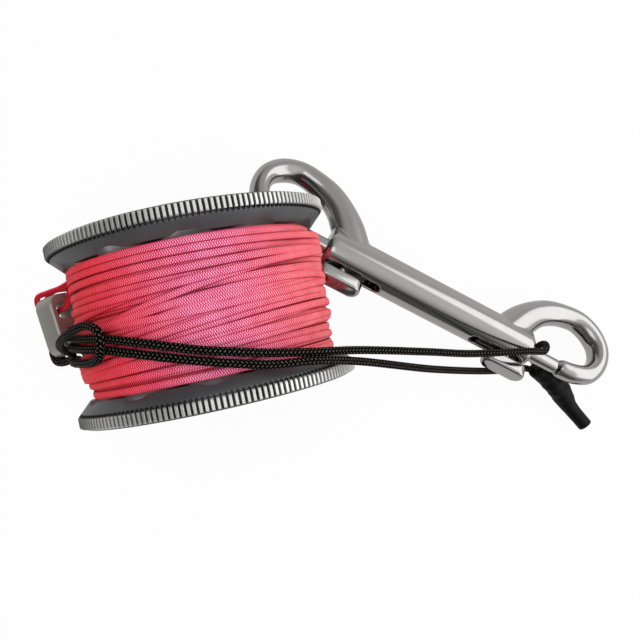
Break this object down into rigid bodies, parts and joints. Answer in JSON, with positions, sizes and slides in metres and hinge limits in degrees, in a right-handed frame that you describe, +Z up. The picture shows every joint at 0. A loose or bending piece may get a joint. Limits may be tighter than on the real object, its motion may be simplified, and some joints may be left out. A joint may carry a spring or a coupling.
{
  "type": "finger spool",
  "caption": "Hand-held line spool with knurled flanges and a finger bore, full of bright braided line, with a double-ended bolt snap hooked on and tied by a cord loop.",
  "frame": {"origin": "under the middle of the spool, snap and link, on the surface they lie on", "axes": "+Z up; +Y along the spool's axis towards the flange that the snap hooks through; +X from the spool towards the snap's free end"},
  "size_m": [0.1591, 0.0976, 0.0722],
  "materials": {
    "moulded_grey": "satin, moulded",
    "braided_line": "braided, bright coral pink",
    "black_cord": "braided, matt",
    "black_sleeve": "shrunk on, matt",
    "polished_steel": "cast stainless steel, polished",
    "spring_steel": "drawn wire",
    "satin_steel": "cast stainless steel, satin"
  },
  "bodies": {
    "spool": {"cord_loop": "black_cord", "knot_sleeve": "black_sleeve", "left_spring": "spring_steel", "line_core": "braided_line", "line_link": "satin_steel", "line_tail": "braided_line", "line_winding": "braided_line", "right_spring": "spring_steel", "snap_body": "polished_steel", "spool_half_socket": "moulded_grey", "spool_half_spigot": "moulded_grey"},
    "right_bolt": {"right_gate": "polished_steel", "right_thumb_stud": "polished_steel"},
    "left_bolt": {"left_gate": "polished_steel", "left_thumb_stud": "polished_steel"}
  },
  "joints": [
    {"name": "right_bolt_slide", "type": "slide", "parent": "spool", "child": "right_bolt", "axis": [-0.7731, 0.6172, 0.1462], "range_m": [0, 0.01], "stiffness_N_per_m": 300, "springref_m": -0.01, "deforming": ["right_spring"]},
    {"name": "left_bolt_slide", "type": "slide", "parent": "spool", "child": "left_bolt", "axis": [0.7731, -0.6172, -0.1462], "range_m": [0, 0.01], "stiffness_N_per_m": 300, "springref_m": -0.01, "deforming": ["left_spring"]}
  ]
}
